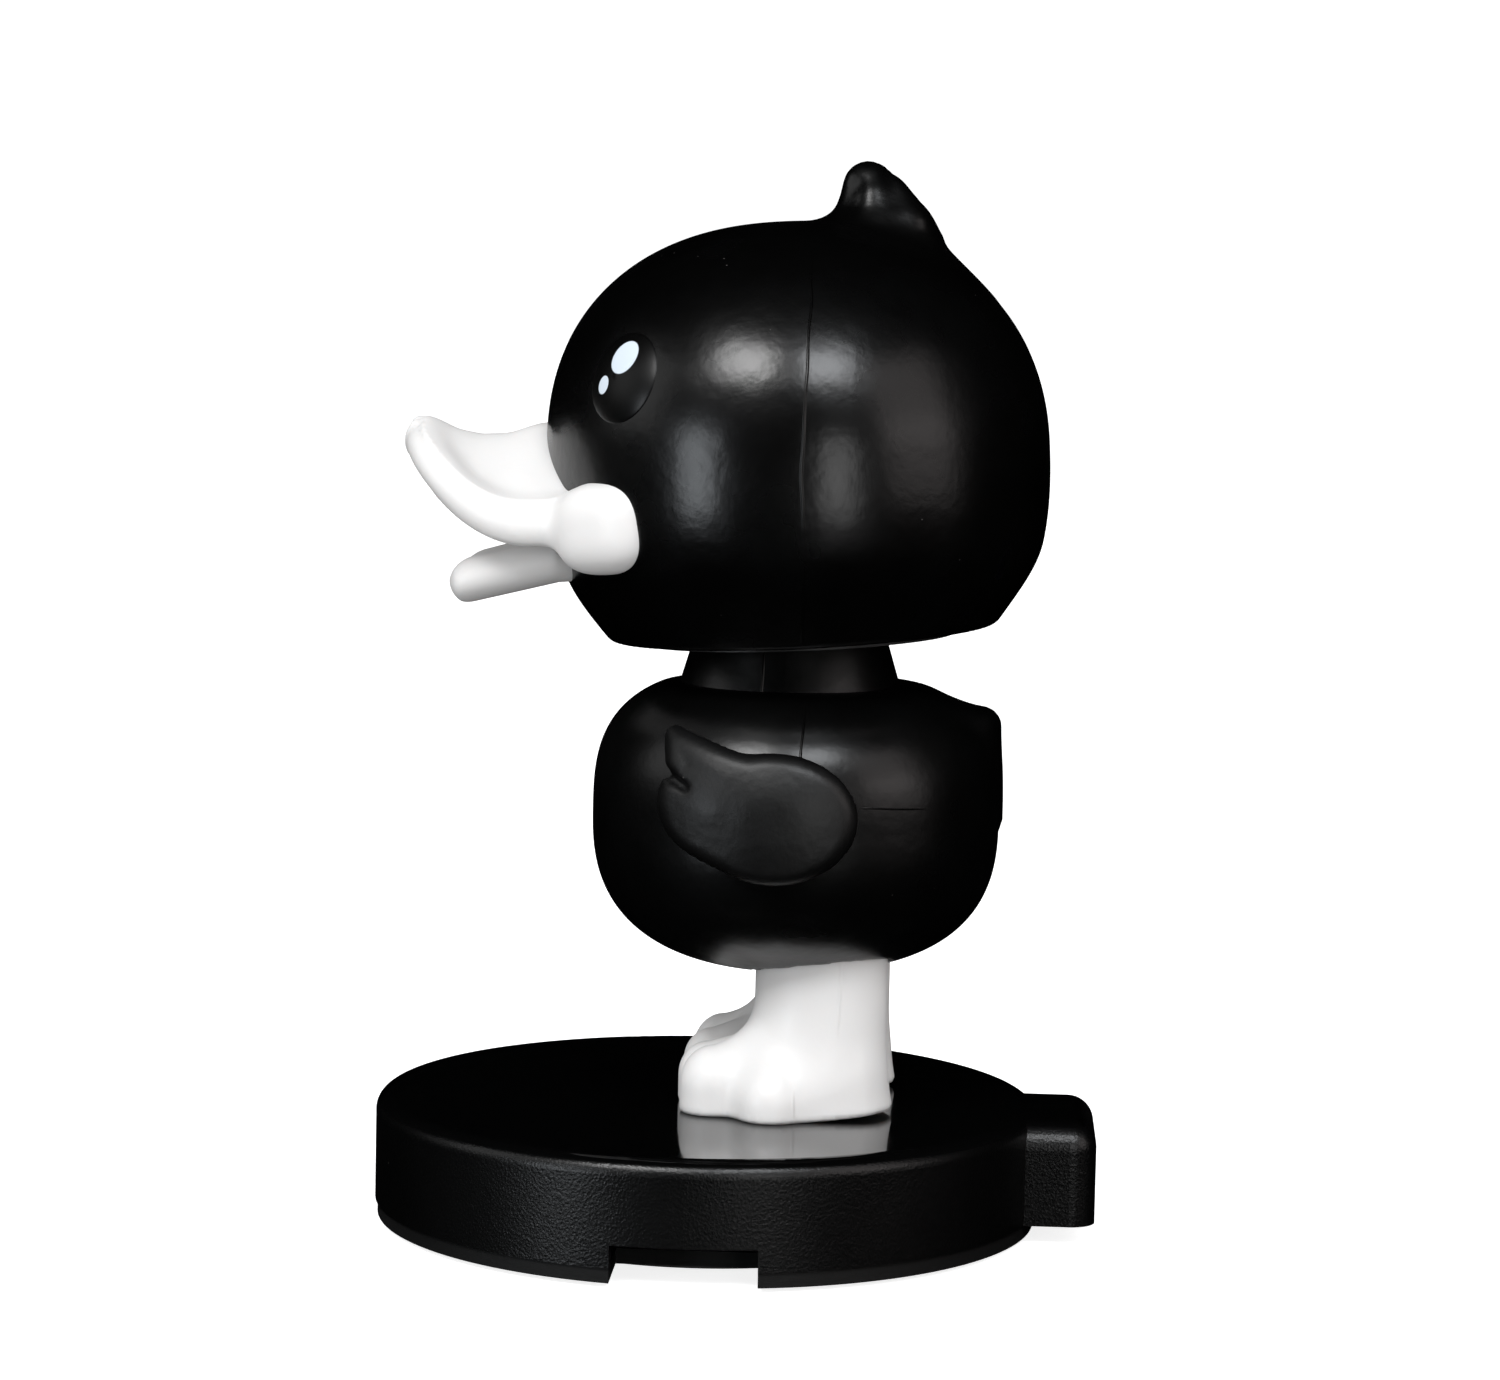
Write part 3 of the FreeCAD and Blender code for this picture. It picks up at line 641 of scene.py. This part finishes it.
def white_plastic(name, seams=()):
    """White moulded vinyl. A seam is (y, lowest z, highest z)."""
    material, tree, shader = new_material(name)
    n = Nodes(tree)
    haze = n.noise(45, 3, 0.6)
    colour = n.mix(haze, (0.712, 0.701, 0.694, 1), (0.75, 0.743, 0.736, 1))
    specks = n.range(n.cells(300), 0.05, 0.025, 0.0, 1.0)
    rare = n.range(n.noise(80, 1), 0.62, 0.66, 0.0, 0.7)
    colour = n.mix(n.math("MULTIPLY", specks, rare), colour, (0.5, 0.36, 0.28, 1))
    n.link(colour, shader.inputs["Base Color"])
    n.link(n.range(haze, 0.3, 0.7, 0.34, 0.46), shader.inputs["Roughness"])
    shader.inputs["Subsurface Weight"].default_value = 0.15
    shader.inputs["Subsurface Radius"].default_value = (1.0, 0.8, 0.7)
    shader.inputs["Subsurface Scale"].default_value = 0.0012
    height = n.math("MULTIPLY_ADD", n.noise(500, 2), 0.6, n.noise(130, 2))
    normal = n.bump(height, 0.00006)
    wander = n.noise(70, 1)
    for at, start, end in seams:
        value = n.math("MULTIPLY_ADD", n.math("SUBTRACT", wander, 0.5), 0.0022, n.axis("Y"))
        span = n.math("MULTIPLY", n.range(n.axis("Z"), start * MM, (start + 2) * MM, 0.0, 1.0),
                      n.range(n.axis("Z"), (end - 2) * MM, end * MM, 1.0, 0.0))
        ridge = n.math("MULTIPLY", n.line(value, at * MM, 0.3 * MM), span)
        normal = n.bump(ridge, 0.00006, 1.0, normal)
    n.link(normal, shader.inputs["Normal"])
    return material


def base_plastic(name):
    """One moulding with a polished top and a finely grained skirt."""
    material, tree, shader = new_material(name)
    n = Nodes(tree)
    top = n.range(n.axis("Z"), (SOLE_Z - 1.2) * MM, (SOLE_Z - 0.3) * MM, 0.0, 1.0, smooth=True)
    haze = n.noise(40, 3, 0.6)
    specks = n.range(n.cells(330), 0.04, 0.02, 0.0, 1.0)
    rare = n.range(n.noise(70, 1), 0.57, 0.63, 0.0, 1.0)
    speck = n.math("MULTIPLY", specks, rare)
    base = n.mix(haze, grey(0.0008), grey(0.0014, -0.05))
    n.link(n.mix(speck, base, grey(0.14, 0.03)), shader.inputs["Base Color"])
    polished = n.range(haze, 0.3, 0.7, 0.05, 0.10)
    grained = n.range(haze, 0.3, 0.7, 0.27, 0.34)
    rough = n.tree.nodes.new("ShaderNodeMix")
    n.link(top, rough.inputs["Factor"])
    n.link(grained, rough.inputs["A"])
    n.link(polished, rough.inputs["B"])
    n.link(rough.outputs["Result"], shader.inputs["Roughness"])
    grain = n.math("ADD", n.noise(4200, 2, 0.6), n.math("MULTIPLY", n.cells(2600), 0.6))
    grain = n.math("MULTIPLY", grain, n.math("SUBTRACT", 1.0, top))
    n.link(n.bump(grain, 0.000035), shader.inputs["Normal"])
    return material


def eye_plastic(name, centre, across, up):
    """Gloss black with two plain pale ovals printed on it."""
    material, tree, shader = new_material(name)
    n = Nodes(tree)

    def along(vector):
        node = tree.nodes.new("ShaderNodeVectorMath")
        node.operation = "DOT_PRODUCT"
        n.link(n.place, node.inputs[0])
        node.inputs[1].default_value = tuple(vector)
        return n.math("SUBTRACT", node.outputs["Value"], float(np.dot(vector, centre)) * MM)

    u, v = along(across), along(up)

    def oval(cu, cv, ru, rv, tilt):
        c, s = math.cos(math.radians(tilt)), math.sin(math.radians(tilt))
        du, dv = n.math("SUBTRACT", u, cu * MM), n.math("SUBTRACT", v, cv * MM)
        ru, rv = ru * MM, rv * MM
        a = n.math("ADD", n.math("MULTIPLY", du, c / ru), n.math("MULTIPLY", dv, s / ru))
        b = n.math("ADD", n.math("MULTIPLY", du, -s / rv), n.math("MULTIPLY", dv, c / rv))
        size = n.math("ADD", n.math("MULTIPLY", a, a), n.math("MULTIPLY", b, b))
        return n.range(size, 0.92, 1.06, 1.0, 0.0, smooth=True)

    glint = n.math("MAXIMUM", oval(0.4, 2.2, 1.9, 2.1, -20), oval(-2.2, -1.1, 0.95, 1.1, -20))
    haze = n.noise(80, 2)
    base = n.mix(haze, grey(0.0008), grey(0.0014))
    pale = n.mix(haze, (0.54, 0.61, 0.68, 1), (0.60, 0.67, 0.74, 1))
    n.link(n.mix(glint, base, pale), shader.inputs["Base Color"])
    n.link(n.math("ADD", n.range(haze, 0.3, 0.7, 0.34, 0.44), n.math("MULTIPLY", glint, 0.2)),
           shader.inputs["Roughness"])
    shader.inputs["Specular IOR Level"].default_value = 0.3
    height = n.math("ADD", n.math("MULTIPLY", glint, 0.5), n.math("MULTIPLY", n.noise(300), 0.2))
    n.link(n.bump(height, 0.00004), shader.inputs["Normal"])
    return material


def plain_plastic(name, value, low_rough, high_rough, scale=900):
    material, tree, shader = new_material(name)
    n = Nodes(tree)
    haze = n.noise(70, 3, 0.6)
    n.link(n.mix(haze, grey(value * 0.8), grey(value * 1.25)), shader.inputs["Base Color"])
    n.link(n.range(haze, 0.3, 0.7, low_rough, high_rough), shader.inputs["Roughness"])
    n.link(n.bump(n.noise(scale, 3), 0.00004), shader.inputs["Normal"])
    return material


def bare_steel(name, value, stretch):
    material, tree, shader = new_material(name)
    n = Nodes(tree)
    drawn = n.noise(400, 3, 0.6, n.stretch(stretch))
    colour = n.mix(n.noise(60, 3), grey(value * 0.8, 0.02), grey(value * 1.1, 0.02))
    n.link(colour, shader.inputs["Base Color"])
    shader.inputs["Metallic"].default_value = 1.0
    n.link(n.range(drawn, 0.3, 0.7, 0.24, 0.42), shader.inputs["Roughness"])
    n.link(n.bump(drawn, 0.00002), shader.inputs["Normal"])
    return material


# ---------------------------------------------------------------- pieces
def build_head():
    head_skin = black_plastic("head_vinyl", 0.23, 0.30, seams=[("Y", 11.4, 72, 118, 0.22)])
    points, faces = surface_net(head_field, (-33, -23, 70.2), (33, 42.5, 130.5), NET_STEP)
    add_piece(make_mesh("head_skin", leaned(points), faces), "head", ["head_shell"], head_skin)

    white = white_plastic("bill_vinyl")
    fine = NET_STEP * FINE_NET
    points, faces = surface_net(upper_bill, (-25.5, -39.5, 79), (25.5, -4, 102), fine)
    upper = make_mesh("upper_bill_skin", leaned(points), faces)
    add_piece(upper, "head", ["upper_bill"], white)
    points, faces = surface_net(lower_bill, (-19, -35.5, 76), (19, -7, 87), fine)
    lower = make_mesh("lower_bill_skin", leaned(points), faces)
    add_piece(lower, "head", ["lower_bill"], white)


def eye_place():
    """Point on the head's skin at the left eye's centre, its outward normal and two directions across it."""
    point = settle_x(np.array([[24.0, EYE_Y, EYE_Z]]))
    normal = steep(head_egg, point)[0]
    normal /= np.linalg.norm(normal)
    across = np.cross((0, 0, 1), normal)
    across /= np.linalg.norm(across)
    return point[0], normal, across, np.cross(normal, across)


def settle_x(point):
    for _ in range(30):
        value = head_egg(point)
        slope = steep(head_egg, point)[:, 0]
        point[:, 0] -= value / slope
    return point


def build_eyes():
    centre, normal, across, up = eye_place()
    rings, spokes = 14, 48
    points, faces = [centre + normal * EYE_RISE], []
    for ring in range(1, rings + 3):
        share = min(ring / rings, 1.0)
        sink = -0.6 if ring > rings else 0.0
        shrink = 0.96 if ring == rings + 1 else (0.5 if ring == rings + 2 else 1.0)
        height = EYE_RISE * (1 - share ** 2) ** 0.75 - 0.12 + sink * (ring - rings)
        for spoke in range(spokes):
            angle = 2 * math.pi * spoke / spokes
            flat = across * math.cos(angle) + up * math.sin(angle) * 1.03
            at = centre + flat * EYE_R * share * shrink
            skin = at - normal * float(true_distance(head_egg, at[None])[0])
            points.append(skin + normal * height)
    for spoke in range(spokes):
        after = (spoke + 1) % spokes
        faces.append([0, 1 + spoke, 1 + after])
        for ring in range(rings + 1):
            a = 1 + ring * spokes
            b = a + spokes
            faces.append([a + spoke, b + spoke, b + after, a + after])
    last = 1 + (rings + 1) * spokes
    points.append(centre - normal * 1.6)
    for spoke in range(spokes):
        faces.append([last + (spoke + 1) % spokes, last + spoke, len(points) - 1])
    points = np.array(points)
    turn = np.array(Matrix.Rotation(math.radians(HEAD_LEAN), 3, "X"))
    for side, name in ((1, "left"), (-1, "right")):
        flip = np.array([side, 1, 1])
        material = eye_plastic(name + "_eye_gloss", leaned(centre * flip),
                               turn @ (across * flip) * side, turn @ (up * flip))
        rows = faces if side == 1 else [row[::-1] for row in faces]
        piece = make_mesh(name + "_eye_dome", leaned(points * flip), rows)
        add_piece(piece, "head", [name + "_eye"], material)


def build_body():
    vinyl = black_plastic("body_vinyl", 0.27, 0.35,
                          seams=[("Y", 11.6, 57, 65, 0.18), ("Z", 53.6, 18.6, 26, 0.12)])
    satin = black_plastic("wing_vinyl", 0.40, 0.5, dust=0.35, tint=0.0012, peel=0.00004, peel_scale=900)
    points, faces = surface_net(body_field, (-26.5, -16.5, 30), (26.5, 36.8, 67.5), NET_STEP)
    add_piece(make_mesh("body_skin", points, faces), "figure", ["body_shell"], vinyl)
    points, faces = surface_net(wing_field, (12, -7, 42.5), (29, 20, 64), NET_STEP * WING_NET)
    add_piece(make_mesh("left_wing_skin", points, faces), "figure", ["left_wing"], satin)
    right = make_mesh("right_wing_skin", *mirrored(points, faces))
    add_piece(right, "figure", ["right_wing"], satin)


def build_feet():
    white = white_plastic("foot_vinyl", seams=[(16.4, 25, 36), (10.8, 15, 20)])
    points, faces = surface_net(foot_field, (-1.5, -5, SOLE_Z - 0.8), (20.5, 25, LEG_TOP_Z + 0.8),
                                NET_STEP * FINE_NET)
    add_piece(make_mesh("left_foot_skin", points, faces), "figure", ["left_leg"], white)
    right = make_mesh("right_foot_skin", *mirrored(points, faces))
    add_piece(right, "figure", ["right_leg"], white)


def build_spring():
    """The coil stretches between its seat and the part of the head's mount that bounces."""
    low, high = node_box("neck_spring")
    turn_steps, sides = 40, 12
    coil_r = (high[0] - low[0]) / 2 - COIL_WIRE_R
    rise = high[2] - low[2] - 2 * COIL_WIRE_R
    along = np.linspace(0, 1, COIL_TURNS * turn_steps + 1)[:, None]
    angle = 2 * math.pi * COIL_TURNS * along
    around = 2 * math.pi * np.arange(sides)[None, :] / sides
    radius = coil_r + COIL_WIRE_R * np.cos(around)
    z = low[2] + COIL_WIRE_R + rise * along + COIL_WIRE_R * np.sin(around)
    points = np.stack([radius * np.cos(angle), BODY_Y + radius * np.sin(angle), z], axis=2)
    points = points.reshape(-1, 3)
    faces = [list(range(sides)), list(range(len(points) - 1, len(points) - 1 - sides, -1))]
    for start in range(0, len(points) - sides, sides):
        for side in range(sides):
            after = (side + 1) % sides
            faces.append([start + side, start + sides + side, start + sides + after, start + after])
    piece = make_mesh("neck_coil", points, faces)
    piece.data.materials.append(bare_steel("coil_steel", 0.55, (1, 1, 4)))
    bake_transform(piece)
    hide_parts("neck_spring")


def dress_cad_nodes():
    materials = {
        "neck_collar": black_plastic("neck_satin", 0.3, 0.4, seams=[("Y", 6.2, 60, 80, 0.2)]),
        "base_cover": base_plastic("base_gloss"),
        "base_plate": plain_plastic("plate_plastic", 0.0008, 0.55, 0.65),
        "grip_pad": plain_plastic("pad_foam", 0.03, 0.8, 0.95, 1400),
        "ballast_disc": bare_steel("ballast_steel", 0.4, (1, 1, 6)),
        "base_screws": bare_steel("screw_steel", 0.5, (1, 1, 1)),
        "spring_seat": plain_plastic("seat_plastic", 0.05, 0.4, 0.5),
        "spring_cap": plain_plastic("cap_plastic", 0.05, 0.4, 0.5),
        "head_insert": plain_plastic("insert_plastic", 0.012, 0.4, 0.5),
    }
    materials["leg_screws"] = materials["cap_screw"] = materials["base_screws"]
    for node, material in materials.items():
        target = frame["nodes"][node]
        if not target.material_slots:
            target.data.materials.append(material)
        for slot in target.material_slots:
            slot.material = material


build_head()
build_eyes()
build_body()
build_feet()
build_spring()
dress_cad_nodes()


# ---------------------------------------------------------------- stage, lights and camera
FLOOR_HALF = 6.0           # metres


def build_stage():
    """White paper that only the camera sees, and a sky that lights matt surfaces without a reflection."""
    size = FLOOR_HALF
    mesh = bpy.data.meshes.new("floor")
    corners = [(-size, -size, 0), (size, -size, 0), (size, size, 0), (-size, size, 0)]
    mesh.from_pydata(corners, [], [(0, 1, 2, 3)])
    floor = bpy.data.objects.new("floor", mesh)
    bpy.context.scene.collection.objects.link(floor)
    material, tree, shader = new_material("floor_paper")
    n = Nodes(tree)
    n.link(n.mix(n.noise(30, 2), grey(0.93), grey(0.95)), shader.inputs["Base Color"])
    shader.inputs["Roughness"].default_value = 0.9
    shader.inputs["Emission Color"].default_value = (1, 1, 1, 1)
    shader.inputs["Emission Strength"].default_value = 0.82
    floor.data.materials.append(material)
    floor.visible_glossy = False
    floor.visible_diffuse = False

    world = bpy.data.worlds.new("studio")
    world.use_nodes = True
    tree = world.node_tree
    tree.nodes.clear()
    out = tree.nodes.new("ShaderNodeOutputWorld")
    ray = tree.nodes.new("ShaderNodeLightPath")
    strength = tree.nodes.new("ShaderNodeMath")
    strength.operation = "MULTIPLY_ADD"
    tree.links.new(ray.outputs["Is Camera Ray"], strength.inputs[0])
    way = tree.nodes.new("ShaderNodeTexCoord")
    split = tree.nodes.new("ShaderNodeSeparateXYZ")
    tree.links.new(way.outputs["Generated"], split.inputs[0])
    height = tree.nodes.new("ShaderNodeMath")
    height.operation = "MULTIPLY_ADD"
    height.inputs[1].default_value = 0.16
    height.inputs[2].default_value = 0.55
    tree.links.new(split.outputs["Z"], height.inputs[0])
    fill = tree.nodes.new("ShaderNodeMath")
    fill.operation = "MULTIPLY"
    tree.links.new(ray.outputs["Is Diffuse Ray"], fill.inputs[0])
    tree.links.new(height.outputs[0], fill.inputs[1])
    strength.inputs[1].default_value = 1.1
    tree.links.new(fill.outputs[0], strength.inputs[2])
    background = tree.nodes.new("ShaderNodeBackground")
    background.inputs["Color"].default_value = (1, 1, 1, 1)
    tree.links.new(strength.outputs[0], background.inputs["Strength"])
    tree.links.new(background.outputs[0], out.inputs["Surface"])
    bpy.context.scene.world = world


TARGET = np.array([0.0, 9.0, 90.0])


def soft_light(name, azimuth, elevation, width, height, radiance, distance=900.0, colour=(1, 1, 1)):
    """A soft box seen from the head at an azimuth (0 on +X, negative to the front) and an elevation."""
    a, e = math.radians(azimuth), math.radians(elevation)
    way = np.array([math.cos(a) * math.cos(e), math.sin(a) * math.cos(e), math.sin(e)])
    data = bpy.data.lights.new(name, "AREA")
    data.shape = "RECTANGLE"
    data.size = 2 * distance * math.tan(math.radians(width / 2)) * MM
    data.size_y = 2 * distance * math.tan(math.radians(height / 2)) * MM
    data.energy = radiance * math.pi * data.size * data.size_y
    data.color = colour
    lamp = bpy.data.objects.new(name, data)
    lamp.location = Vector(TARGET + way * distance) * MM
    lamp.rotation_mode = "QUATERNION"
    lamp.rotation_quaternion = Vector(way).to_track_quat("Z", "Y")
    bpy.context.scene.collection.objects.link(lamp)
    return lamp


def build_lights():
    """Each row: name, azimuth, elevation, width and height in degrees, and radiance."""
    soft_light("key_front", -27, 42, 22, 17, 13)
    soft_light("key_side", 19, 42, 20, 17, 10, colour=(0.94, 0.97, 1.0))
    soft_light("key_band", -14, 38, 70, 9, 1.0)
    soft_light("key_rear", 58, 24, 34, 36, 0.9, colour=(1.0, 0.93, 0.92))
    soft_light("low_front", -44, -3, 15, 20, 6.0, colour=(0.9, 0.95, 1.0), distance=700)
    soft_light("low_side", 20, -3, 14, 20, 3.0, distance=450)
    soft_light("low_rear", 60, 4, 34, 20, 0.8, distance=600, colour=(1.0, 0.93, 0.92))
    soft_light("beak_fill", -80, 20, 30, 30, 0.8)


CAMERA_TURN, CAMERA_PITCH, CAMERA_ROLL = 3.0, 5.70, 1.20
CAMERA_DISTANCE = 508.1
CAMERA_AIM = (0, 4.17, 115.6)
LENS = 101.1


def build_camera():
    """Looks at the duck's left side from a little above."""
    turn, pitch, roll = (math.radians(v) for v in (CAMERA_TURN, CAMERA_PITCH, CAMERA_ROLL))
    away = Vector((math.cos(turn), math.sin(turn), 0))
    right = Vector((-math.sin(turn), math.cos(turn), 0))
    forward = -away * math.cos(pitch) - Vector((0, 0, 1)) * math.sin(pitch)
    up = right.cross(forward)
    right_rolled = right * math.cos(roll) + up * math.sin(roll)
    up_rolled = up * math.cos(roll) - right * math.sin(roll)
    data = bpy.data.cameras.new("camera")
    data.lens = LENS
    data.sensor_width = 36
    camera = bpy.data.objects.new("camera", data)
    axes = Matrix((right_rolled, up_rolled, -forward)).transposed().to_4x4()
    place = away * CAMERA_DISTANCE + Vector(CAMERA_AIM)
    camera.matrix_world = Matrix.Translation(place * MM) @ axes
    bpy.context.scene.collection.objects.link(camera)
    bpy.context.scene.camera = camera


build_stage()
build_lights()
build_camera()
bpy.context.scene.view_settings.view_transform = "Standard"
